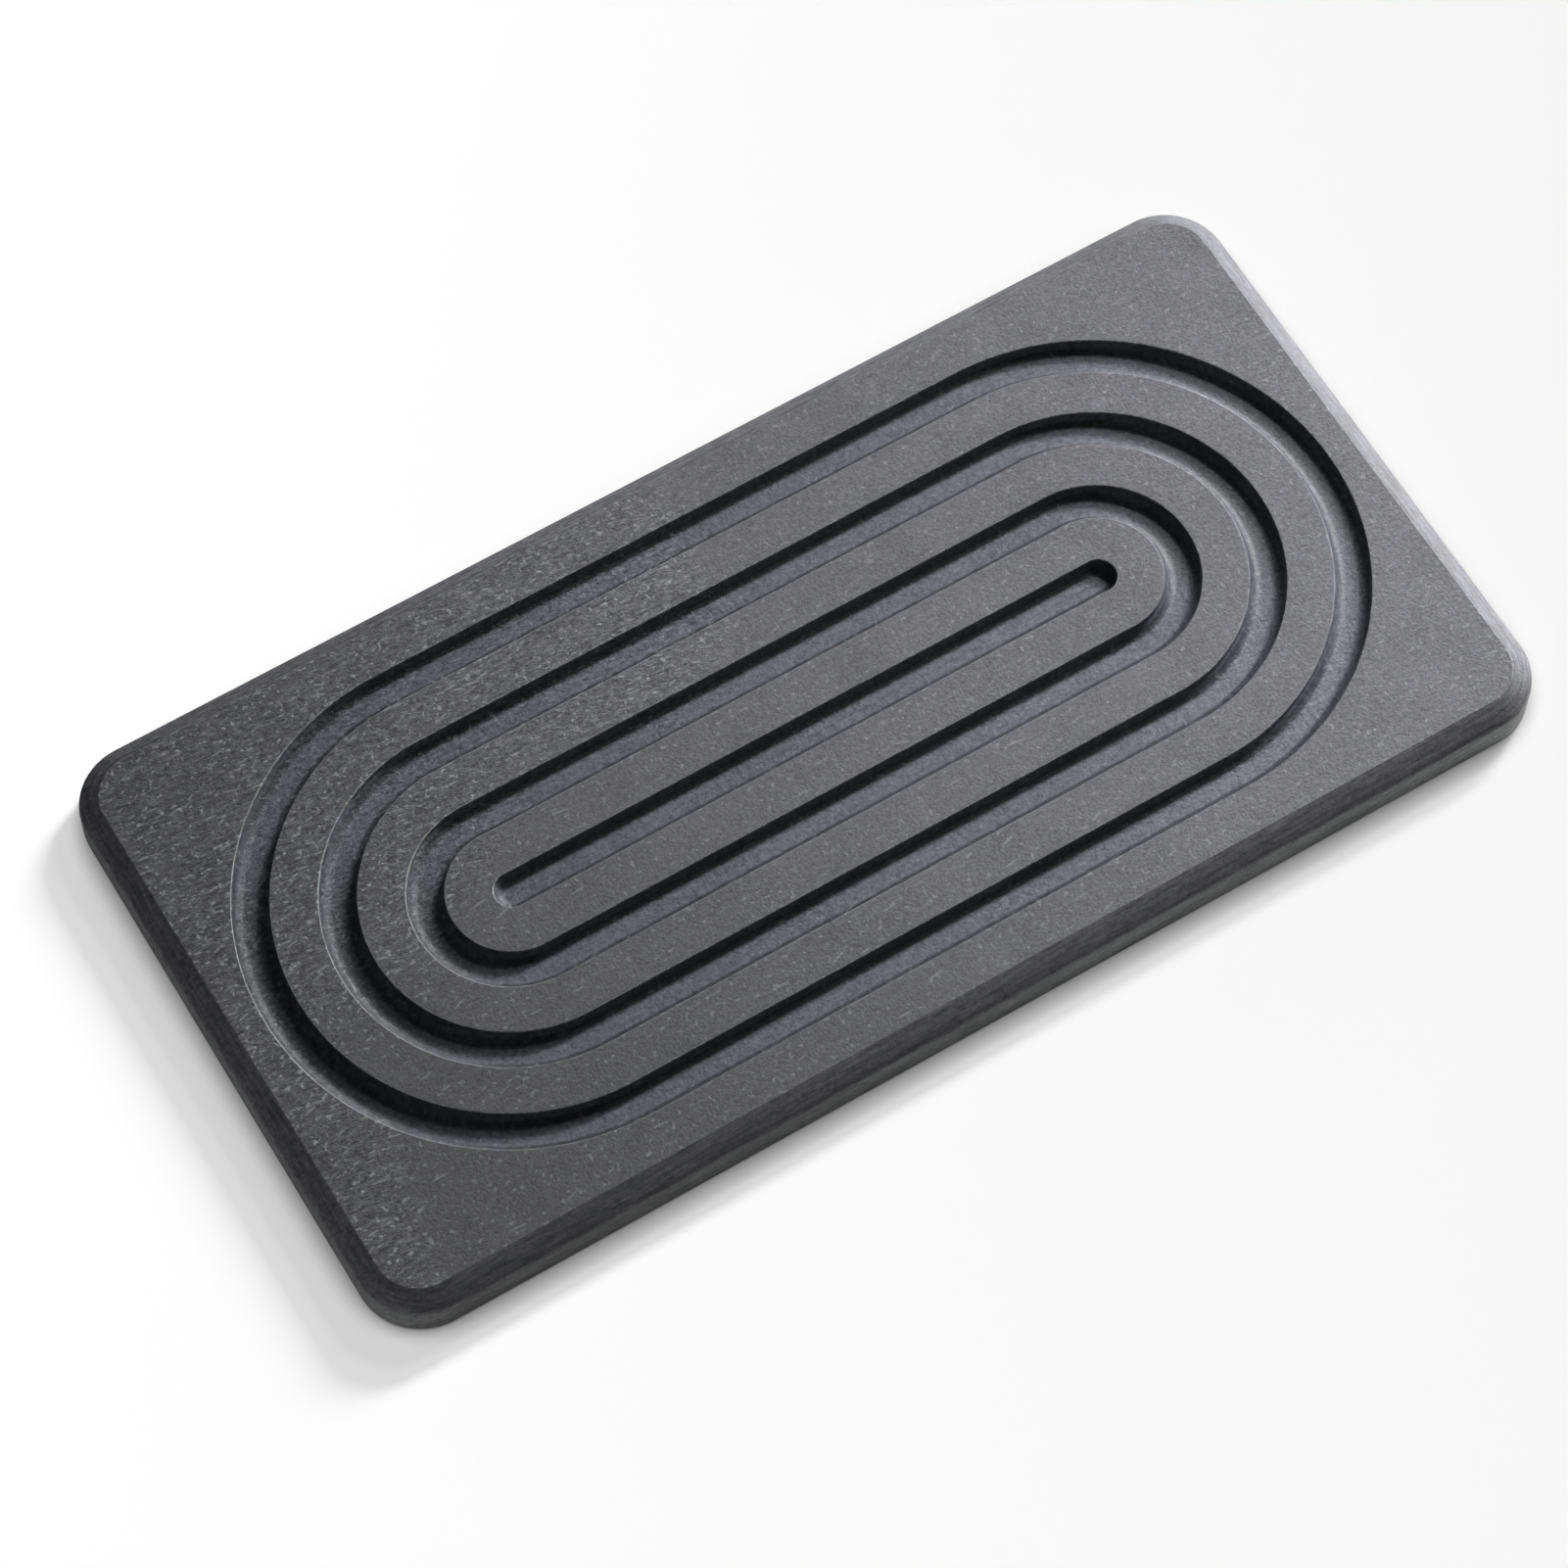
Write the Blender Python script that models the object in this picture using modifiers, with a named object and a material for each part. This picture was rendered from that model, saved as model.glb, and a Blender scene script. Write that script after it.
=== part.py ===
"""Stone drying tray: a pressed mineral slab with drainage grooves, standing on four foot pads.

Metres, +Z up. The origin lies at the middle of the footprint, on the surface the tray stands on.
X runs along the tray's length and Y across it.
"""
from math import cos, pi, radians, sin

import bmesh
import bpy

# Slab
LENGTH = 0.250
WIDTH = 0.129
THICKNESS = 0.010
CORNER_RADIUS = 0.0125
EDGE_WIDTH = 0.0040        # how far the moulded top edge reaches in from the side wall
EDGE_DROP = 0.0030         # how far the side wall's top lies below the top face
EDGE_BULGE = 0.2           # 0 makes the moulded edge a flat chamfer, 1 a quarter ellipse
FOOT_CHAMFER = 0.0004      # broken edge around the underside

# Drainage grooves: a straight slot, and closed rings at an even spacing around it
RING_COUNT = 3
GROOVE_WIDTH = 0.0070
GROOVE_FLOOR = 0.0020      # the flat part of a groove's floor, between its rounded corners
GROOVE_DEPTH = 0.0028
SIDE_MARGIN = 0.0164       # from the slab's long side to the middle of the outermost ring
END_MARGIN = 0.0132        # from the slab's short side to the middle of the outermost ring

# Foot pads, seated in round pockets in the underside
PAD_DIAMETER = 0.010
PAD_HEIGHT = 0.0012
PAD_EDGE_RADIUS = 0.0003
PAD_INSET_X = 0.020        # from the slab's short side to the pad's middle
PAD_INSET_Y = 0.020        # from the slab's long side to the pad's middle
STAND_OFF = 0.0005         # how far the pads hold the slab off the surface
SEAT_CLEARANCE = 0.0003    # all around a pad in its pocket

# Fineness of the curved surfaces
CORNER_SEGMENTS = 12
EDGE_STEPS = 6
RING_END_STEPS = 20        # steps around each half-round end of the innermost ring
RING_END_GROWTH = 6        # further steps for each ring outwards
SLOT_END_STEPS = 12        # steps around each half-round end of the slot
GROOVE_CORNER_STEPS = 5
PAD_SIDES = 40
PAD_EDGE_STEPS = 2
SHARP_ANGLE = radians(20)

# Worked out from the sizes above
TOP = STAND_OFF + THICKNESS
RING_SPACING = (WIDTH / 2 - SIDE_MARGIN) / RING_COUNT
STRAIGHT_HALF = LENGTH / 2 - END_MARGIN - RING_COUNT * RING_SPACING
GROOVE_CORNER = (GROOVE_WIDTH - GROOVE_FLOOR) / 2

STONE_COLOUR = (0.125, 0.130, 0.142, 1.0)
STONE_ROUGHNESS = 0.82
PAD_COLOUR = (0.035, 0.035, 0.038, 1.0)
PAD_ROUGHNESS = 0.55


def clear_scene():
    for thing in list(bpy.data.objects):
        bpy.data.objects.remove(thing, do_unlink=True)


def new_collection(name):
    collection = bpy.data.collections.new(name)
    bpy.context.scene.collection.children.link(collection)
    return collection


def new_material(name, colour, roughness):
    material = bpy.data.materials.new(name)
    material.use_nodes = True
    shader = material.node_tree.nodes["Principled BSDF"]
    shader.inputs["Base Color"].default_value = colour
    shader.inputs["Roughness"].default_value = roughness
    shader.inputs["Metallic"].default_value = 0.0
    material.diffuse_color = colour
    return material


def place(name, mesh, collection):
    thing = bpy.data.objects.new(name, mesh)
    collection.objects.link(thing)
    return thing


def as_cutter(thing):
    thing.hide_render = True
    thing.display_type = "WIRE"


def edge_point(step):
    """Reach outwards from the top face's rim, and drop below it, along the moulded edge."""
    share = step / EDGE_STEPS
    angle = share * pi / 2
    reach = EDGE_WIDTH * ((1 - EDGE_BULGE) * share + EDGE_BULGE * sin(angle))
    drop = EDGE_DROP * ((1 - EDGE_BULGE) * share + EDGE_BULGE * (1 - cos(angle)))
    return reach, drop


def face_towards(mesh, direction):
    """The flat face of a block that looks most directly along +Z or -Z."""
    return max(mesh.faces, key=lambda face: face.normal.z * direction)


def is_upright(edge):
    along = edge.verts[1].co - edge.verts[0].co
    return abs(along.z) > abs(along.x) + abs(along.y)


def slab_mesh():
    """A rounded block whose top is stepped inwards and upwards along the moulded edge."""
    wall_bottom = STAND_OFF + FOOT_CHAMFER
    wall_top = TOP - EDGE_DROP
    block = bmesh.new()
    bmesh.ops.create_cube(block, size=1.0)
    bmesh.ops.scale(block, vec=(LENGTH, WIDTH, wall_top - wall_bottom), verts=block.verts)
    bmesh.ops.translate(block, vec=(0, 0, (wall_top + wall_bottom) / 2), verts=block.verts)
    uprights = [edge for edge in block.edges if is_upright(edge)]
    bmesh.ops.bevel(block, geom=uprights, offset=CORNER_RADIUS, offset_type="OFFSET",
                    segments=CORNER_SEGMENTS, profile=0.5, affect="EDGES")
    block.normal_update()
    for step in range(EDGE_STEPS, 0, -1):
        reach, drop = edge_point(step)
        next_reach, next_drop = edge_point(step - 1)
        bmesh.ops.inset_region(block, faces=[face_towards(block, 1)], use_even_offset=True,
                               thickness=reach - next_reach, depth=drop - next_drop)
        block.normal_update()
    bmesh.ops.inset_region(block, faces=[face_towards(block, -1)], use_even_offset=True,
                           thickness=FOOT_CHAMFER, depth=FOOT_CHAMFER)
    mesh = bpy.data.meshes.new("stone_slab")
    block.to_mesh(mesh)
    block.free()
    return mesh


def ring_path(radius, end_steps):
    """Points around a ring with straight sides and half-round ends."""
    points = []
    for side in (1, -1):
        for step in range(end_steps + 1):
            angle = side * pi / 2 - pi * step / end_steps
            points.append((side * STRAIGHT_HALF + radius * cos(angle), radius * sin(angle)))
    return points


def closed_curve(name, points):
    """A closed curve through these points, with straight runs between them."""
    curve = bpy.data.curves.new(name, "CURVE")
    curve.dimensions = "3D"
    spline = curve.splines.new("POLY")
    spline.points.add(len(points) - 1)
    for point, position in zip(spline.points, points):
        point.co = (*position, 1.0)
    spline.use_cyclic_u = True
    return curve


def groove_section(collection):
    """Around a groove's section: a flat floor, rounded corners, and walls carried up past the top face."""
    corner_height = GROOVE_CORNER - GROOVE_DEPTH
    side = [(GROOVE_WIDTH / 2, GROOVE_CORNER, 0.0)]
    for step in range(GROOVE_CORNER_STEPS + 1):
        angle = pi / 2 * step / GROOVE_CORNER_STEPS
        reach = GROOVE_FLOOR / 2 + GROOVE_CORNER * cos(angle)
        side.append((reach, corner_height - GROOVE_CORNER * sin(angle), 0.0))
    other_side = [(-reach, height, 0.0) for reach, height, _ in reversed(side)]
    return place("groove_section", closed_curve("groove_section", side + other_side), collection)


def ring_cutter(number, section, collection):
    """The groove's section carried along one ring, as a mesh that can cut."""
    points = ring_path(number * RING_SPACING, RING_END_STEPS + RING_END_GROWTH * (number - 1))
    path = closed_curve(f"ring_path_{number}", [(x, y, TOP) for x, y in points])
    path.twist_mode = "Z_UP"
    path.bevel_mode = "OBJECT"
    path.bevel_object = section
    sweep = place(f"ring_path_{number}", path, collection)
    mesh = bpy.data.meshes.new_from_object(sweep.evaluated_get(bpy.context.evaluated_depsgraph_get()))
    cutter = place(f"ring_cutter_{number}", mesh, collection)
    cutter.matrix_world = sweep.matrix_world
    bpy.data.objects.remove(sweep, do_unlink=True)
    as_cutter(cutter)


def slot_cutter(collection):
    """A block with half-round ends and rounded lower edges, for the straight slot."""
    floor = TOP - GROOVE_DEPTH
    block = bmesh.new()
    outline = [block.verts.new((x, y, floor)) for x, y in ring_path(GROOVE_WIDTH / 2, SLOT_END_STEPS)]
    raised = bmesh.ops.extrude_face_region(block, geom=[block.faces.new(outline)])
    upper = [item for item in raised["geom"] if isinstance(item, bmesh.types.BMVert)]
    bmesh.ops.translate(block, vec=(0, 0, GROOVE_DEPTH + GROOVE_CORNER), verts=upper)
    lower = [edge for edge in block.edges if all(vertex.co.z < TOP for vertex in edge.verts)]
    bmesh.ops.bevel(block, geom=lower, offset=GROOVE_CORNER, offset_type="OFFSET",
                    segments=GROOVE_CORNER_STEPS, profile=0.5, affect="EDGES")
    bmesh.ops.recalc_face_normals(block, faces=block.faces)
    mesh = bpy.data.meshes.new("slot_cutter")
    block.to_mesh(mesh)
    block.free()
    as_cutter(place("slot_cutter", mesh, collection))


def pad_places():
    """Name and middle of each foot pad, seen from above with the long sides at front and back."""
    for depth, y_side in (("front", -1), ("back", 1)):
        for hand, x_side in (("left", -1), ("right", 1)):
            x = x_side * (LENGTH / 2 - PAD_INSET_X)
            y = y_side * (WIDTH / 2 - PAD_INSET_Y)
            yield f"{depth}_{hand}", x, y


def cylinder_mesh(name, radius, low, high):
    disc = bmesh.new()
    bmesh.ops.create_cone(disc, cap_ends=True, segments=PAD_SIDES, radius1=radius, radius2=radius,
                          depth=high - low)
    bmesh.ops.translate(disc, vec=(0, 0, (high + low) / 2), verts=disc.verts)
    mesh = bpy.data.meshes.new(name)
    disc.to_mesh(mesh)
    disc.free()
    return mesh


def pocket_cutters(collection):
    radius = PAD_DIAMETER / 2 + SEAT_CLEARANCE
    mesh = cylinder_mesh("pad_pocket", radius, -STAND_OFF, PAD_HEIGHT + SEAT_CLEARANCE)
    for where, x, y in pad_places():
        cutter = place(f"pad_pocket_{where}", mesh, collection)
        cutter.location = (x, y, 0)
        as_cutter(cutter)


def stone_slab(parts, cutters, material):
    section = groove_section(cutters)
    for number in range(1, RING_COUNT + 1):
        ring_cutter(number, section, cutters)
    bpy.data.objects.remove(section, do_unlink=True)
    slot_cutter(cutters)
    pocket_cutters(cutters)
    slab = place("stone_slab", slab_mesh(), parts)
    slab.data.materials.append(material)
    cut = slab.modifiers.new("grooves_and_pockets", "BOOLEAN")
    cut.operation = "DIFFERENCE"
    cut.operand_type = "COLLECTION"
    cut.collection = cutters
    cut.solver = "EXACT"
    slab.data.shade_smooth()
    slab.data.set_sharp_from_angle(angle=SHARP_ANGLE)


def foot_pads(parts, material):
    mesh = cylinder_mesh("foot_pad", PAD_DIAMETER / 2, 0.0, PAD_HEIGHT)
    mesh.materials.append(material)
    mesh.shade_smooth()
    mesh.set_sharp_from_angle(angle=SHARP_ANGLE)
    for where, x, y in pad_places():
        pad = place(f"foot_pad_{where}", mesh, parts)
        pad.location = (x, y, 0)
        rounding = pad.modifiers.new("rounded_edges", "BEVEL")
        rounding.width = PAD_EDGE_RADIUS
        rounding.segments = PAD_EDGE_STEPS
        rounding.limit_method = "ANGLE"
        rounding.angle_limit = SHARP_ANGLE


clear_scene()
tray_parts = new_collection("stone_drying_tray")
tray_cutters = new_collection("tray_cutters")
stone_slab(tray_parts, tray_cutters, new_material("pressed_stone", STONE_COLOUR, STONE_ROUGHNESS))
foot_pads(tray_parts, new_material("pad_rubber", PAD_COLOUR, PAD_ROUGHNESS))
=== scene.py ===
from math import cos, pi, radians, sin, tan

import bpy
from mathutils import Matrix, Vector


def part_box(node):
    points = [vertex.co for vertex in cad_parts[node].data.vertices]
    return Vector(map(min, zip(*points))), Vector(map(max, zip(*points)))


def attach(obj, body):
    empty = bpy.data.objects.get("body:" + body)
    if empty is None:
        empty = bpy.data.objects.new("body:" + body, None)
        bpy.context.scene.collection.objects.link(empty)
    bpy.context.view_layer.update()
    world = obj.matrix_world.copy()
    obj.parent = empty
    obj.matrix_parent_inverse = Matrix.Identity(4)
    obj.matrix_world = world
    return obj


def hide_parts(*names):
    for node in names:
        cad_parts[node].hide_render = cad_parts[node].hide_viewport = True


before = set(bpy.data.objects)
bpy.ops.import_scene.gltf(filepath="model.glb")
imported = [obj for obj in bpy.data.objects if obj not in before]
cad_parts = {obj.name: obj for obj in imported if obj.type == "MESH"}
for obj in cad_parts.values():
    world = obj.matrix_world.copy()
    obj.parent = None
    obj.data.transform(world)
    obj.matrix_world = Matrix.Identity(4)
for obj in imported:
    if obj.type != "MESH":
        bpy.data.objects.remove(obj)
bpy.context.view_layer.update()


# The slab is one piece of pressed mineral board, slate grey, with short pale fibres lying in its layers.
# It is sawn to size and its top edge is moulded. A flat-ended cutter with rounded corners runs the slot
# and the three rings around it, and a drill sinks four round pockets for the pads in its underside.

MM = 0.001

slab_low, slab_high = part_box("stone_slab")
slab_length = slab_high.x - slab_low.x
slab_width = slab_high.y - slab_low.y
corner_radius = 12.5 * MM
edge_width = 4.0 * MM
edge_drop = 3.0 * MM
edge_bulge = 0.2
edge_softness = 0.7 * MM
foot_chamfer = 0.4 * MM

ring_count = 3
groove_width = 7.0 * MM
groove_floor = 2.0 * MM
groove_depth = 2.8 * MM
rim_softness = 0.22 * MM
side_margin = 16.4 * MM
end_margin = 13.2 * MM
ring_spacing = (slab_width / 2 - side_margin) / ring_count
straight_half = slab_length / 2 - end_margin - ring_count * ring_spacing

pad_low, pad_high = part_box("foot_pad_back_right")
pad_radius = (pad_high.x - pad_low.x) / 2
pad_spread = pad_low + pad_high
seat_clearance = 0.3 * MM
pocket_sides = 64

weld_gap = 0.001 * MM
crease_angle = radians(35)


def groove_half():
    """Points from a groove's middle out to its land: reach from the middle, and height below the land."""
    corner = (groove_width - groove_floor) / 2
    wall_steps, rim_steps = 12, 4
    points = [(0.0, -groove_depth)]
    for step in range(wall_steps + 1):
        angle = pi / 2 * step / wall_steps
        points.append((groove_floor / 2 + corner * sin(angle), corner * (1 - cos(angle)) - groove_depth))
    for step in range(rim_steps + 1):
        angle = pi / 2 * step / rim_steps
        points.append((groove_width / 2 + rim_softness * (1 - cos(angle)), rim_softness * (sin(angle) - 1)))
    points.append((groove_width / 2 + 2 * rim_softness, 0.0))
    return points


def moulded_edge():
    """Points from the flat face out to the side wall: reach from the flat face's rim, and height."""
    points = [(-0.30 * MM, 0.0), (-0.05 * MM, 0.0)]
    for share in (0.015, 0.12, 0.25, 0.38, 0.5, 0.62, 0.74, 0.84):
        angle = share * pi / 2
        reach = edge_width * ((1 - edge_bulge) * share + edge_bulge * sin(angle))
        drop = edge_drop * ((1 - edge_bulge) * share + edge_bulge * (1 - cos(angle)))
        points.append((reach, -drop))
    return points


def slab_section():
    """One side of the slab's section, from the slot's bottom over the top and back under to the middle.

    Each row is a reach, a height, and 0 where the reach is measured from the tray's middle line
    or 1 where it is measured from the flat face's outline.
    """
    top = slab_high.z
    half = groove_half()
    rows = [(reach, top + height, 0) for reach, height in half]
    for ring in range(1, ring_count + 1):
        middle = ring * ring_spacing
        rows += [(middle - reach, top + height, 0) for reach, height in reversed(half)]
        rows += [(middle + reach, top + height, 0) for reach, height in half[1:]]
    rows += [(reach, top + height, 1) for reach, height in moulded_edge()]
    wall_top = top - edge_drop
    # The edge turns into the wall at these shares of the softness, inwards of the wall and below its top.
    for inwards, below in ((0.35, -0.1), (0.1, 0.4), (0.0, 1.0), (0.0, 2.0)):
        rows.append((edge_width - inwards * edge_softness, wall_top - below * edge_softness, 1))
    rows += [(edge_width, slab_low.z + foot_chamfer, 1),
             (edge_width - foot_chamfer, slab_low.z, 1),
             (0.0, slab_low.z, 0)]
    return rows


class Wire:
    """An output socket of a node tree. Arithmetic on wires adds Math and Vector Math nodes."""

    def __init__(self, tree, socket):
        self.tree = tree
        self.socket = socket

    @staticmethod
    def add(tree, kind, settings=None, sockets=None, output=0):
        """A new node. Its settings come first, then its sockets' values or links."""
        node = tree.nodes.new(kind)
        for name, value in (settings or {}).items():
            if name == "stops":
                stops = node.color_ramp.elements
                stops.remove(stops[1])
                stops[0].position, stops[0].color = value[0]
                for place, colour in value[1:]:
                    stops.new(place).color = colour
            else:
                setattr(node, name, value)
        for name, value in (sockets or {}).items():
            socket = node.inputs[name]
            if isinstance(value, Wire):
                tree.links.new(value.socket, socket)
            elif isinstance(value, (int, float)) and socket.type in ("VECTOR", "RGBA"):
                socket.default_value = (value,) * len(socket.default_value)
            else:
                socket.default_value = value
        return Wire(tree, node.outputs[output]) if node.outputs else None

    def math(self, operation, *others, output=0):
        kind = "ShaderNodeVectorMath" if self.is_vector() else "ShaderNodeMath"
        return Wire.add(self.tree, kind, {"operation": operation}, dict(enumerate((self, *others))), output)

    def is_vector(self):
        return self.socket.type in ("VECTOR", "RGBA")

    def reverse(self, operation, other):
        kind = "ShaderNodeVectorMath" if self.is_vector() else "ShaderNodeMath"
        return Wire.add(self.tree, kind, {"operation": operation}, {0: other, 1: self})

    def __add__(self, other):
        return self.math("ADD", other)

    __radd__ = __add__

    def __sub__(self, other):
        return self.math("SUBTRACT", other)

    def __rsub__(self, other):
        return self.reverse("SUBTRACT", other)

    def __mul__(self, other):
        if self.is_vector() and isinstance(other, Wire) and not other.is_vector():
            return Wire.add(self.tree, "ShaderNodeVectorMath", {"operation": "SCALE"},
                            {0: self, "Scale": other})
        return self.math("MULTIPLY", other)

    __rmul__ = __mul__

    def __truediv__(self, other):
        return self.math("DIVIDE", other)

    def __rtruediv__(self, other):
        return self.reverse("DIVIDE", other)

    def beside(self, name):
        """Another output of the same node."""
        return Wire(self.tree, self.socket.node.outputs[name])

    def parts(self):
        """The X, Y and Z of a vector."""
        x = Wire.add(self.tree, "ShaderNodeSeparateXYZ", {}, {0: self}, "X")
        return x, x.beside("Y"), x.beside("Z")

    def mix(self, below, above):
        """The first colour where this is 0 and the second where it is 1."""
        return Wire.add(self.tree, "ShaderNodeMix", {"data_type": "RGBA"},
                        {"Factor": self, 6: below, 7: above}, 2)

    def ramp_between(self, low, high):
        """0 below low and 1 above high, with a soft step between."""
        return Wire.add(self.tree, "ShaderNodeMapRange", {"interpolation_type": "SMOOTHSTEP"},
                        {"Value": self, "From Min": low, "From Max": high, "To Min": 0.0, "To Max": 1.0})


def vector(tree, x, y, z):
    return Wire.add(tree, "ShaderNodeCombineXYZ", {}, {"X": x, "Y": y, "Z": z})


def section_object(rows):
    """A section's rows as an edge mesh, with what each reach is measured from kept as an attribute."""
    mesh = bpy.data.meshes.new("section")
    mesh.from_pydata([(reach, height, 0.0) for reach, height, _ in rows],
                     [(i, i + 1) for i in range(len(rows) - 1)], [])
    from_outline = mesh.attributes.new("from_outline", "FLOAT", "POINT")
    for item, (_, _, zone) in zip(from_outline.data, rows):
        item.value = zone
    reach_height = mesh.attributes.new("reach_height", "FLOAT_VECTOR", "POINT")
    for item, (reach, height, _) in zip(reach_height.data, rows):
        item.vector = (reach, height, 0.0)
    thing = bpy.data.objects.new("section", mesh)
    bpy.context.scene.collection.objects.link(thing)
    return thing


def group_with_inputs(name, inputs):
    """A geometry tree with named inputs, a Geometry output and an open input node."""
    tree = bpy.data.node_groups.new(name, "GeometryNodeTree")
    for socket_name, kind in inputs:
        tree.interface.new_socket(socket_name, in_out="INPUT", socket_type=kind)
    tree.interface.new_socket("Geometry", in_out="OUTPUT", socket_type="NodeSocketGeometry")
    source = tree.nodes.new("NodeGroupInput")
    sizes = {output.name: Wire(tree, output) for output in source.outputs if output.name}
    return tree, sizes


def finish_group(tree, geometry):
    sink = tree.nodes.new("NodeGroupOutput")
    tree.links.new(geometry.socket, sink.inputs[0])


def named(tree, name, kind="FLOAT"):
    return Wire.add(tree, "GeometryNodeInputNamedAttribute", {"data_type": kind}, {"Name": name})


def profile_curve(tree, section):
    loose = Wire.add(tree, "GeometryNodeObjectInfo", {}, {"Object": section}, "Geometry")
    return Wire.add(tree, "GeometryNodeMeshToCurve", {}, {"Mesh": loose})


def at_pads(tree, size, shape):
    """The shape set down at the four pads' places."""
    places = Wire.add(tree, "GeometryNodeMeshGrid", {}, {
        "Size X": size["Spread X"], "Size Y": size["Spread Y"], "Vertices X": 2, "Vertices Y": 2})
    copies = Wire.add(tree, "GeometryNodeInstanceOnPoints", {}, {"Points": places, "Instance": shape})
    return Wire.add(tree, "GeometryNodeRealizeInstances", {}, {"Geometry": copies})


def shaded(tree, shape):
    """The shape shaded smooth, apart from edges that bend by more than the crease angle."""
    smooth = Wire.add(tree, "GeometryNodeSetShadeSmooth", {}, {"Geometry": shape, "Shade Smooth": True})
    bend = Wire.add(tree, "GeometryNodeInputMeshEdgeAngle")
    steep = Wire.add(tree, "FunctionNodeCompare", {"data_type": "FLOAT", "operation": "GREATER_THAN"},
                     {0: bend, 1: crease_angle})
    return Wire.add(tree, "GeometryNodeSetShadeSmooth", {"domain": "EDGE"},
                    {"Geometry": smooth, "Selection": steep, "Shade Smooth": False})


def slab_sweep():
    """Sweeps the section around the flat face's outline, along rays from the tray's middle line."""
    tree, size = group_with_inputs("slab_sweep", [
        ("Length", "NodeSocketFloat"), ("Width", "NodeSocketFloat"), ("Corner Radius", "NodeSocketFloat"),
        ("Corner Points", "NodeSocketInt"), ("Spacing", "NodeSocketFloat"),
        ("Straight Half", "NodeSocketFloat"), ("Section", "NodeSocketObject"),
        ("Pocket Radius", "NodeSocketFloat"), ("Pocket Top", "NodeSocketFloat"),
        ("Spread X", "NodeSocketFloat"), ("Spread Y", "NodeSocketFloat"), ("Stone", "NodeSocketMaterial")])
    rectangle = Wire.add(tree, "GeometryNodeCurvePrimitiveQuadrilateral", {},
                         {"Width": size["Length"], "Height": size["Width"]})
    rounded = Wire.add(tree, "GeometryNodeFilletCurve", {"mode": "POLY"},
                       {"Curve": rectangle, "Radius": size["Corner Radius"], "Count": size["Corner Points"]})
    here = Wire.add(tree, "GeometryNodeInputPosition")
    index = Wire.add(tree, "GeometryNodeInputIndex")
    after = Wire.add(tree, "GeometryNodeOffsetPointInCurve", {}, {"Point Index": index, "Offset": 1}, 1)
    there = Wire.add(tree, "GeometryNodeFieldAtIndex", {"data_type": "FLOAT_VECTOR"},
                     {"Index": after, "Value": here})
    run = (there - here).math("LENGTH", output=1)
    cuts = (run / size["Spacing"]).math("FLOOR")
    outline = Wire.add(tree, "GeometryNodeSubdivideCurve", {}, {"Curve": rounded, "Cuts": cuts})
    outline = Wire.add(tree, "GeometryNodeStoreNamedAttribute", {"data_type": "FLOAT_VECTOR"},
                       {"Geometry": outline, "Name": "rim_place", "Value": here})
    tangent = Wire.add(tree, "GeometryNodeInputTangent")
    up = vector(tree, 0.0, 0.0, 1.0)
    outline = Wire.add(tree, "GeometryNodeStoreNamedAttribute", {"data_type": "FLOAT_VECTOR"},
                       {"Geometry": outline, "Name": "rim_outwards",
                        "Value": tangent.math("CROSS_PRODUCT", up)})
    swept = Wire.add(tree, "GeometryNodeCurveToMesh", {},
                     {"Curve": outline, "Profile Curve": profile_curve(tree, size["Section"])})

    rim = named(tree, "rim_place", "FLOAT_VECTOR")
    outwards = named(tree, "rim_outwards", "FLOAT_VECTOR")
    reach, height, _ = named(tree, "reach_height", "FLOAT_VECTOR").parts()
    straight = size["Straight Half"]
    along = rim.parts()[0].math("MAXIMUM", straight * -1.0).math("MINIMUM", straight)
    middle = vector(tree, along, 0.0, 0.0)
    ray = (rim - middle).math("NORMALIZE")
    inside = middle + ray * reach
    outside = rim + outwards * reach
    spread = Wire.add(tree, "ShaderNodeMix", {"data_type": "VECTOR"},
                      {"Factor": named(tree, "from_outline"), 4: inside, 5: outside}, 1)
    swept = Wire.add(tree, "GeometryNodeSetPosition", {},
                     {"Geometry": swept, "Position": spread + vector(tree, 0.0, 0.0, height)})
    closed = Wire.add(tree, "GeometryNodeMergeByDistance", {}, {"Geometry": swept, "Distance": weld_gap})
    pocket = Wire.add(tree, "GeometryNodeMeshCylinder", {}, {
        "Vertices": pocket_sides, "Radius": size["Pocket Radius"], "Depth": size["Pocket Top"] * 2.0})
    drilled = Wire.add(tree, "GeometryNodeMeshBoolean", {"operation": "DIFFERENCE", "solver": "EXACT"},
                       {"Mesh 1": closed, "Mesh 2": at_pads(tree, size, pocket)})
    whole = Wire.add(tree, "GeometryNodeRealizeInstances", {}, {"Geometry": shaded(tree, drilled)})
    finish_group(tree, Wire.add(tree, "GeometryNodeSetMaterial", {},
                                {"Geometry": whole, "Material": size["Stone"]}))
    return tree


def grow(name, tree, values):
    """Runs a geometry tree with these input values and returns its result as a plain mesh object."""
    holder = bpy.data.objects.new(name, bpy.data.meshes.new(name))
    bpy.context.scene.collection.objects.link(holder)
    grower = holder.modifiers.new(name, "NODES")
    grower.node_group = tree
    for item in tree.interface.items_tree:
        if item.in_out == "INPUT" and item.name in values:
            grower[item.identifier] = values[item.name]
    bpy.context.view_layer.update()
    shape = bpy.data.meshes.new_from_object(holder.evaluated_get(bpy.context.evaluated_depsgraph_get()))
    holder.modifiers.clear()
    holder.data = shape
    return holder


def noise(place, size, detail=2.0, roughness=0.5, output="Fac"):
    """Clouds of about this size, from 0 to 1, with the middle at 0.5. Color gives three at once."""
    return Wire.add(place.tree, "ShaderNodeTexNoise", {"noise_dimensions": "3D"},
                    {"Vector": place, "Scale": 1 / size, "Detail": detail, "Roughness": roughness}, output)


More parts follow.
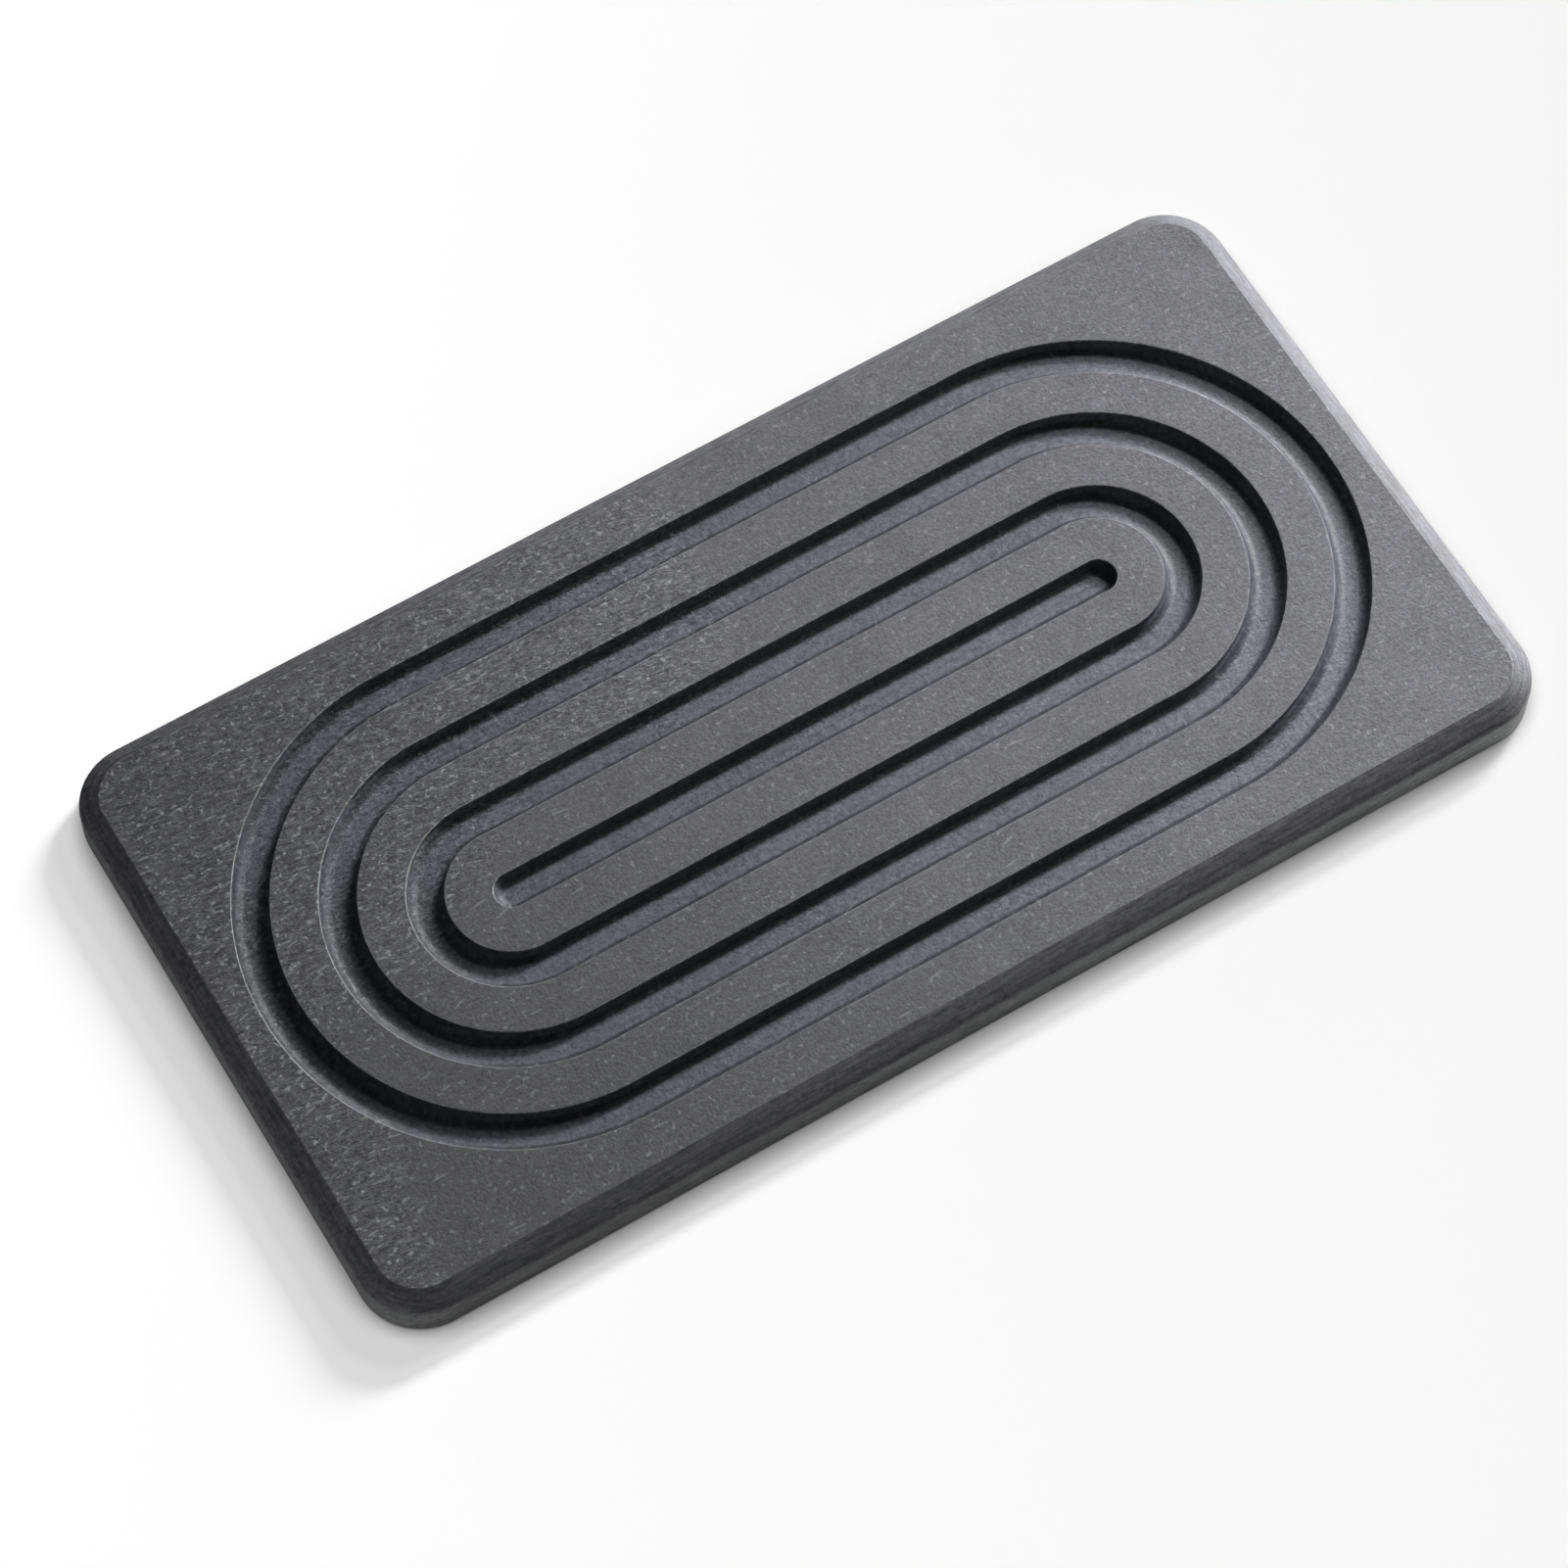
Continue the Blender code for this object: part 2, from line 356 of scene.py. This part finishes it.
def veins(place, size, half_width):
    """Thin winding lines about this far apart, 1 on a line's middle and 0 past its half width."""
    away = (noise(place, size, 1.0) - 0.5).math("ABSOLUTE")
    return 1 - away.ramp_between(0.0, half_width / size)


def fibres(place, cell, half_length, half_width, turn, bend, share, shift):
    """Short strokes on the board's face, one to a cell: 1 on a fibre and 0 between them.

    Sizes are in millimetres. A stroke keeps within turn radians of the board's length, and only
    about this share of the cells holds one.
    """
    spread = (place + shift) / cell
    middles = Wire.add(place.tree, "ShaderNodeTexVoronoi", {"voronoi_dimensions": "2D"},
                       {"Vector": spread, "Scale": 1.0}, "Position")
    x, y, _ = ((spread - middles) * cell).parts()
    first, second, third = middles.beside("Color").parts()
    angle = (first - 0.5) * (2 * turn)
    along = x * angle.math("COSINE") + y * angle.math("SINE")
    across = y * angle.math("COSINE") - x * angle.math("SINE") + along * along * ((second - 0.5) * bend)
    length = (second * 0.7 + 0.3) * half_length
    ends = 1 - along.math("ABSOLUTE").ramp_between(length * 0.4, length)
    sides = 1 - across.math("ABSOLUTE").ramp_between(0.0, half_width)
    return ends * sides * third.ramp_between(1 - share, 1.0)


class SlabFaces:
    """Masks for parts of the slab, 1 on what each names and 0 off it, and the depth below the top.

    Sizes are in millimetres.
    """

    def __init__(self, place):
        half_length = slab_length / 2 / MM
        half_width = slab_width / 2 / MM
        thickness = (slab_high.z - slab_low.z) / MM
        x, y, z = place.parts()
        depth = slab_high.z / MM - z
        above_foot = 1 - depth.ramp_between(thickness - 0.5, thickness - 0.1)

        # The reach is the distance past the slab's round-cornered outline, and is negative inside it.
        corner = corner_radius / MM
        past = (place * (1.0, 1.0, 0.0)).math("ABSOLUTE") - (half_length - corner, half_width - corner, 0.0)
        past_x, past_y, _ = past.parts()
        past_corner = past.math("MAXIMUM", 0.0).math("LENGTH", output=1)
        reach = past_corner + past_x.math("MAXIMUM", past_y).math("MINIMUM", 0.0) - corner
        edge_start = -edge_width / MM
        wall_top = edge_drop / MM
        edge = reach.ramp_between(edge_start - 0.05, edge_start + 0.05) * above_foot
        wall = edge * depth.ramp_between(wall_top - 0.4, wall_top + 0.6)
        inside_edge = 1 - edge
        groove = inside_edge * depth.ramp_between(0.15, 0.6) * above_foot

        # The run is 1 beside the straight stretches of the grooves and 0 at the middle of each turn.
        end = straight_half / MM
        past_end = x - x.math("MAXIMUM", -end).math("MINIMUM", end)
        run = y.math("ABSOLUTE") / (past_end * past_end + y * y + 0.01).math("SQRT")

        # The straight grooves are darker low on their walls, just above the floor: painted shade in the
        # corner between wall and floor.
        floor = groove_depth / MM
        above_floor = 1 - depth.ramp_between(floor - 0.22, floor - 0.04)
        low_on_wall = depth.ramp_between(floor - 1.2, floor - 0.7) * above_floor

        near_side = (y * -1.0).ramp_between(half_width - 6.5, half_width - 2.5)
        towards_near_left = y.math("MINIMUM", 0.0) * -0.9 - x
        self.depth = depth
        self.edge = edge
        self.wall = wall
        self.groove = groove
        self.rim = inside_edge * depth.ramp_between(0.002, 0.02) * (1 - depth.ramp_between(0.18, 0.38))
        self.turning = 1 - run.ramp_between(0.25, 0.85)
        self.painted_shade_low_walls = inside_edge * low_on_wall * run.ramp_between(0.55, 0.95)
        # Painted shade: the near moulded edge darkens towards its right half.
        self.painted_shade_near_edge = (edge - wall) * near_side * x.ramp_between(-20.0, 80.0)
        # Painted shade: the wall at the right end is darkened for how the light falls there.
        self.painted_shade_right_wall = wall * x.ramp_between(half_length - 8.0, half_length - 2.0)
        # Painted shade: the face darkens towards the near left, where the light falls off.
        self.painted_shade_near_left = towards_near_left.ramp_between(-20.0, 130.0) * (1 - groove * 0.8)


def board_fibres(place, curled, grain, thick, coarse, fine):
    """The board's pale fibres, 1 on a fibre and 0 between them, and the curls that also stand proud."""
    long_ones = fibres(place, cell=(8.0, 4.0, 1.0), half_length=2.4, half_width=0.34, turn=0.35, bend=0.12,
                       share=0.5, shift=(3.1, 1.7, 0.0))
    middle_ones = fibres(place, cell=(3.6, 1.6, 1.0), half_length=1.5, half_width=0.34, turn=0.45, bend=0.10,
                         share=0.6, shift=(27.1, 3.3, 0.0))
    short_ones = fibres(place, cell=(1.9, 1.1, 1.0), half_length=0.85, half_width=0.36, turn=0.35, bend=0.08,
                        share=0.8, shift=(11.3, 5.9, 0.0))
    breaks = noise(place * (0.7, 1.0, 1.0) + (2.0, 41.0, 6.0), 1.3, 2.0)
    streaks = veins(curled * (0.22, 1.0, 1.0) + (4.0, 9.0, 2.0), 1.2, 0.13) * breaks.ramp_between(0.50, 0.60)
    curls = veins(place + (17.0, 3.0, 8.0), 2.2, 0.13) * breaks.ramp_between(0.60, 0.68)
    specks = noise(place + (7.0, 23.0, 5.0), 1.05, 0.0).ramp_between(0.66, 0.82)
    dashes = short_ones * breaks.ramp_between(0.30, 0.62) * 0.75
    dashes = dashes.math("MAXIMUM", middle_ones * 0.6) * (coarse + 0.03)

    fibre = long_ones * (thick * 0.6 + 0.06)
    for others in (dashes, streaks * (coarse * 0.16 + 0.02), curls * (fine * 0.05 + 0.02),
                   specks * (coarse * 0.4 + 0.3)):
        fibre = fibre.math("MAXIMUM", others)
    return fibre * (grain * 1.6 + 0.2).math("MINIMUM", 1.0), curls


def board_layers(place, depth):
    """How light the board's layers are where its edge is cut across them: broad bands, and fine strata."""
    bands = ((0.00, 1.00), (0.03, 0.86), (0.07, 1.00), (0.11, 0.96), (0.14, 0.80),
             (0.18, 0.98), (0.23, 0.88), (0.27, 0.80), (0.33, 1.05), (1.00, 1.10))
    full_depth = 9.6
    wave = noise(place * (1.0, 1.0, 0.2), 9.0, 2.0)
    strata = noise(place * (0.16, 0.16, 3.4) + (wave - 0.5) * 2.0, 1.0, 4.0, 0.7)
    stops = [(share, (level, level, level, 1.0)) for share, level in bands]
    banded = Wire.add(place.tree, "ShaderNodeValToRGB", {"stops": stops},
                      {"Fac": (depth + (wave - 0.5) * 0.9) / full_depth})
    return banded * ((strata - 0.5) * 2.2 + 0.88)


def pressed_stone():
    slate = (0.142, 0.143, 0.158, 1.0)
    groove_slate = (0.111, 0.118, 0.140, 1.0)
    wall_slate = (0.200, 0.203, 0.208, 1.0)
    pale_fibre = (0.40, 0.41, 0.42, 1.0)

    material = bpy.data.materials.new("pressed_stone")
    material.use_nodes = True
    tree = material.node_tree
    tree.nodes.clear()
    place = Wire.add(tree, "ShaderNodeTexCoord", {}, {}, "Object") * (1 / MM)
    x, y, _ = place.parts()
    on = SlabFaces(place)

    # The board is coarser towards its far left and finer towards its near right, in wide patches.
    patches = noise(place + (31.0, 7.0, 3.0), 45.0, 1.0)
    thick = ((patches - 0.5) * 1.2 + 0.5 - x / 280 + y / 320).ramp_between(0.0, 1.0)
    coarse = thick.ramp_between(0.66, 1.0)
    fine = (1 - thick).ramp_between(0.50, 1.0)

    grain = noise(place, 0.65, 2.0, 0.6)
    curled = place + (noise(place, 2.6, 1.0, 0.5, "Color") - 0.5) * 0.7
    lumps = noise(curled * (0.42, 1.0, 1.0), 0.85, 3.0, 0.65)
    blobs = noise(curled + (53.0, 8.0, 1.0), 1.2, 2.0)
    clouds = noise(place, 12.0, 3.0, 0.55)
    chips = noise(place + (19.0, 2.0, 44.0), 0.7, 2.0, 0.6).ramp_between(0.42, 0.60)
    fibre, curls = board_fibres(place, curled, grain, thick, coarse, fine)
    fibre = fibre * (1 - on.groove * 0.5) * (1 - on.edge)

    # A mottled ground is darkened zone by zone with painted shade, layered on the edge, and covered by
    # fibres and pale rims.
    mottle = (grain - 0.5) * (on.groove * 0.2 + 0.95) + (lumps - 0.5) * (coarse * 1.7 + 0.3)
    mottle = mottle + (clouds - 0.5) * 0.4 + (blobs - 0.5) * (on.groove * 0.7 + 0.55) + 1
    colour = on.wall.mix(on.groove.mix(slate, groove_slate), wall_slate) * mottle
    # Painted shade: towards the near left, low on the straight grooves' walls, in the grooves at their
    # turns, on the near edge's right half and on the right end's wall.
    for zone, darkening in ((on.painted_shade_near_left, 0.30), (on.painted_shade_low_walls, 0.6), (on.groove * on.turning, 0.34),
                            (on.painted_shade_near_edge, 0.26), (on.painted_shade_right_wall, 0.35)):
        colour = colour * (1 - zone * darkening)
    colour = on.edge.mix(colour, colour * board_layers(place, on.depth))
    # The rims are paler with chipped wear, and with a painted highlight that is stronger where the grooves
    # turn.
    rim_wear_and_painted_highlight = (thick * 0.8 + on.turning * 0.35 + 0.2) * (chips * 0.4 + 0.5)
    colour = (fibre + on.rim * rim_wear_and_painted_highlight).math("MINIMUM", 1.0).mix(colour, pale_fibre)

    roughness = 0.8 - fibre * 0.15 - on.groove * 0.28 - on.edge * 0.04 + on.rim * 0.1 + (grain - 0.5) * 0.2
    height = grain * 0.14 + lumps * (coarse * 0.36 + fine * 0.10 + 0.12) + chips * on.rim * 0.05
    height = height * (1 - on.groove * 0.2) * (1 - on.edge * 0.5) + (fibre + curls * fine) * 0.06
    bump = Wire.add(tree, "ShaderNodeBump", {}, {"Strength": 0.8, "Distance": MM, "Height": height})
    shader = Wire.add(tree, "ShaderNodeBsdfPrincipled", {},
                      {"Base Color": colour, "Roughness": roughness, "Normal": bump})
    Wire.add(tree, "ShaderNodeOutputMaterial", {}, {"Surface": shader})
    return material


section = section_object(slab_section())
slab = grow("slab", slab_sweep(), {
    "Length": slab_length - 2 * edge_width, "Width": slab_width - 2 * edge_width,
    "Corner Radius": corner_radius - edge_width, "Corner Points": 14, "Spacing": 2.5 * MM,
    "Straight Half": straight_half, "Section": section,
    "Pocket Radius": pad_radius + seat_clearance, "Pocket Top": pad_high.z + seat_clearance,
    "Spread X": pad_spread.x, "Spread Y": pad_spread.y, "Stone": pressed_stone()})
bpy.data.objects.remove(section, do_unlink=True)
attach(slab, "root")
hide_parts("stone_slab")


# Four black rubber pads keep the slab off the counter and stop it sliding. Each is a moulded disc with
# two shallow rings in its standing face, and is glued into a round pocket in the slab's underside.

pad_rounding = 0.3 * MM
pad_ring_reaches = (3.2 * MM, 1.7 * MM)
pad_ring_width = 0.7 * MM
pad_ring_depth = 0.15 * MM


def pad_section():
    """Half of a pad's section, from its top's middle out, down and back to its standing face's middle."""
    rounding_steps, ring_steps = 4, 6
    flat_end = pad_radius - 1.2 * pad_rounding
    rows = [(0.0, pad_high.z, 0), (flat_end, pad_high.z, 0)]
    for corner_height, turned in ((pad_high.z - pad_rounding, 1), (pad_low.z + pad_rounding, 0)):
        for step in range(rounding_steps + 1):
            angle = pi / 2 * (turned - step / rounding_steps)
            rows.append((pad_radius - pad_rounding * (1 - cos(angle)),
                         corner_height + pad_rounding * sin(angle), 0))
    rows.append((flat_end, pad_low.z, 0))
    for reach in pad_ring_reaches:
        for step in range(ring_steps + 1):
            share = step / ring_steps - 0.5
            rows.append((reach - share * pad_ring_width, pad_low.z + pad_ring_depth * cos(pi * share), 0))
    rows.append((0.0, pad_low.z, 0))
    return rows


def pads_lathe():
    """Turns the pad's section about its axis and sets a pad down in each pocket."""
    tree, size = group_with_inputs("pads_lathe", [
        ("Sides", "NodeSocketInt"), ("Section", "NodeSocketObject"), ("Spread X", "NodeSocketFloat"),
        ("Spread Y", "NodeSocketFloat"), ("Rubber", "NodeSocketMaterial")])
    circle = Wire.add(tree, "GeometryNodeCurvePrimitiveCircle", {},
                      {"Resolution": size["Sides"], "Radius": 1.0})
    circle = Wire.add(tree, "GeometryNodeStoreNamedAttribute", {"data_type": "FLOAT_VECTOR"},
                      {"Geometry": circle, "Name": "outwards",
                       "Value": Wire.add(tree, "GeometryNodeInputPosition")})
    turned = Wire.add(tree, "GeometryNodeCurveToMesh", {},
                      {"Curve": circle, "Profile Curve": profile_curve(tree, size["Section"])})
    reach, height, _ = named(tree, "reach_height", "FLOAT_VECTOR").parts()
    place = named(tree, "outwards", "FLOAT_VECTOR") * reach + vector(tree, 0.0, 0.0, height)
    turned = Wire.add(tree, "GeometryNodeSetPosition", {}, {"Geometry": turned, "Position": place})
    closed = Wire.add(tree, "GeometryNodeMergeByDistance", {}, {"Geometry": turned, "Distance": weld_gap})
    pads = at_pads(tree, size, shaded(tree, closed))
    finish_group(tree, Wire.add(tree, "GeometryNodeSetMaterial", {},
                                {"Geometry": pads, "Material": size["Rubber"]}))
    return tree


def moulded_rubber():
    black = (0.030, 0.030, 0.032, 1.0)
    dusty = (0.070, 0.069, 0.067, 1.0)
    material = bpy.data.materials.new("moulded_rubber")
    material.use_nodes = True
    tree = material.node_tree
    tree.nodes.clear()
    place = Wire.add(tree, "ShaderNodeTexCoord", {}, {}, "Object") * (1 / MM)
    grain = noise(place, 0.3, 2.0)
    dust = noise(place, 2.5, 3.0).ramp_between(0.45, 0.70)
    roughness = 0.55 + dust * 0.2 + (grain - 0.5) * 0.2
    bump = Wire.add(tree, "ShaderNodeBump", {}, {"Strength": 0.6, "Distance": MM, "Height": grain * 0.04})
    shader = Wire.add(tree, "ShaderNodeBsdfPrincipled", {},
                      {"Base Color": (dust * 0.6).mix(black, dusty), "Roughness": roughness, "Normal": bump})
    Wire.add(tree, "ShaderNodeOutputMaterial", {}, {"Surface": shader})
    return material


section = section_object(pad_section())
pads = grow("rubber_pads", pads_lathe(), {
    "Sides": 72, "Section": section, "Spread X": pad_spread.x, "Spread Y": pad_spread.y,
    "Rubber": moulded_rubber()})
bpy.data.objects.remove(section, do_unlink=True)
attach(pads, "root")
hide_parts("foot_pad_front_left", "foot_pad_front_right", "foot_pad_back_left", "foot_pad_back_right")


# The tray lies on a plain white table top. Two softboxes with grids stand off its right end and rake
# across the grooves, a strip lies close to the table beyond that end, a white card stands opposite, and
# the room adds a little. The camera sees the table evened out to white, with the lamps' shadow of the
# tray left in and a painted shadow beside the tray, from occlusion leaning towards the softboxes.

room_light = 0.035
paper_white = 0.98
paper_glow = 0.61
paper_tone = 0.92
paper_blue = 0.99
shade_reach = 75 * MM
shade_lean = Vector((0.84, 0.0, 0.54)).normalized()
shade_margin = 1.03
shade_depth = 2.6
beam_target = Vector((0.28, -0.04, 0.0))
beam_half_angle = radians(17.2)
strip_distance = 0.6


class Lamp:
    """A flat lamp that faces a target. Level is the light on a card there that faces the lamp."""

    def __init__(self, name, centre, target, size, level, half_angle=None):
        self.centre = centre
        self.reach = (target - centre).length
        self.facing = (target - centre) / self.reach
        self.level = level
        self.grid = tan(half_angle) if half_angle else None
        light = bpy.data.lights.new(name, "AREA")
        light.shape = "RECTANGLE"
        light.size, light.size_y = size
        light.energy = level * (pi * self.reach) ** 2
        along = self.facing.cross(Vector((0, 0, 1)))
        if half_angle:
            light.spread = 2 * half_angle
            light.energy *= 1 - half_angle / self.grid
            along = Vector((1, 0, 0)) - self.facing * self.facing.x
        along.normalize()
        thing = bpy.data.objects.new(name, light)
        scene.collection.objects.link(thing)
        turn = Matrix((along, (-self.facing).cross(along), -self.facing)).transposed()
        thing.matrix_world = Matrix.Translation(centre) @ turn.to_4x4()
        thing.visible_camera = False

    def on_table(self, place):
        """The light that reaches this place on the table."""
        sight = place - self.centre
        ahead = sight.math("DOT_PRODUCT", self.facing, output=1)
        square = sight.math("DOT_PRODUCT", sight, output=1)
        strength = self.level * self.reach ** 2 * self.centre.z
        light = ahead.math("MAXIMUM", 0.0) * strength / (square * square)
        if self.grid is None:
            return light
        slant = (square - ahead * ahead).math("SQRT") / ahead
        return light * (1 - slant / self.grid).math("MAXIMUM", 0.0)


def direction(azimuth, elevation):
    """Points from the tray's middle, with azimuth counted from +X towards +Y."""
    return Vector((cos(azimuth) * cos(elevation), sin(azimuth) * cos(elevation), sin(elevation)))


scene = bpy.context.scene
middle = Vector((0, 0, 0))
low_strip = direction(radians(14), radians(2.8)) * strip_distance
white_card = direction(radians(205), radians(1.6)) * strip_distance
lamps = [
    Lamp("softbox_far", Vector((1.37, 0.525, 0.752)), beam_target, (0.64, 0.17), 2.95, beam_half_angle),
    Lamp("softbox_near", Vector((0.91, 0.37, 0.923)), beam_target, (0.25, 0.17), 1.06, beam_half_angle),
    Lamp("low_strip", low_strip, middle, (0.4, 0.05), 1.0),
    Lamp("white_card", white_card, middle, (0.4, 0.03), 0.24)]

world = bpy.data.worlds.new("room")
scene.world = world
world.use_nodes = True
world.node_tree.nodes.clear()
seen = Wire.add(world.node_tree, "ShaderNodeLightPath")
strength = seen.math("MULTIPLY_ADD", paper_white - room_light, room_light)
background = Wire.add(world.node_tree, "ShaderNodeBackground", {},
                      {"Color": (0.97, 0.99, 1.0, 1.0), "Strength": strength})
Wire.add(world.node_tree, "ShaderNodeOutputWorld", {}, {"Surface": background})


def white_paper():
    material = bpy.data.materials.new("white_paper")
    material.use_nodes = True
    tree = material.node_tree
    tree.nodes.clear()
    place = Wire.add(tree, "ShaderNodeTexCoord", {}, {}, "Object")
    lit = room_light
    for lamp in lamps:
        lit = lamp.on_table(place) + lit
    seen = Wire.add(tree, "ShaderNodeLightPath")
    level = (paper_white - paper_glow) / lit * seen + (1 - seen) * paper_tone
    paper_colour = vector(tree, level, level, level * paper_blue)
    paper = Wire.add(tree, "ShaderNodeBsdfDiffuse", {}, {"Color": paper_colour})
    # Painted shadow: the camera's white glow is darkened by occlusion that leans towards the softboxes.
    open_side = Wire.add(tree, "ShaderNodeAmbientOcclusion", {"samples": 16},
                         {"Distance": shade_reach, "Normal": shade_lean}, "AO")
    unshaded = (1 + shade_lean.z) / 2
    open_side = (open_side * (shade_margin / unshaded)).math("MINIMUM", 1.0).math("POWER", shade_depth)
    glow = Wire.add(tree, "ShaderNodeEmission", {}, {"Strength": open_side * seen * paper_glow})
    both = Wire.add(tree, "ShaderNodeAddShader", {}, {0: paper, 1: glow})
    Wire.add(tree, "ShaderNodeOutputMaterial", {}, {"Surface": both})
    return material


floor_reach = 3.0
floor_mesh = bpy.data.meshes.new("table_top")
floor_mesh.from_pydata([(-floor_reach, -floor_reach, 0), (floor_reach, -floor_reach, 0),
                        (floor_reach, floor_reach, 0), (-floor_reach, floor_reach, 0)], [], [(0, 1, 2, 3)])
floor_mesh.materials.append(white_paper())
floor = bpy.data.objects.new("table_top", floor_mesh)
scene.collection.objects.link(floor)

scene.view_settings.view_transform = "Standard"

picture_width = 1601
azimuth = radians(-30.93)
elevation = radians(63.675)
distance = 1.0208
focal_pixels = 5624.6
aim = Vector((-0.00983, -0.00712, slab_high.z))
towards_camera = Vector((sin(azimuth) * cos(elevation), -cos(azimuth) * cos(elevation), sin(elevation)))
camera_data = bpy.data.cameras.new("camera")
camera_data.sensor_width = 36.0
camera_data.lens = focal_pixels / picture_width * camera_data.sensor_width
camera = bpy.data.objects.new("camera", camera_data)
scene.collection.objects.link(camera)
camera.location = aim + towards_camera * distance
camera.rotation_euler = towards_camera.to_track_quat("Z", "Y").to_euler()
scene.camera = camera
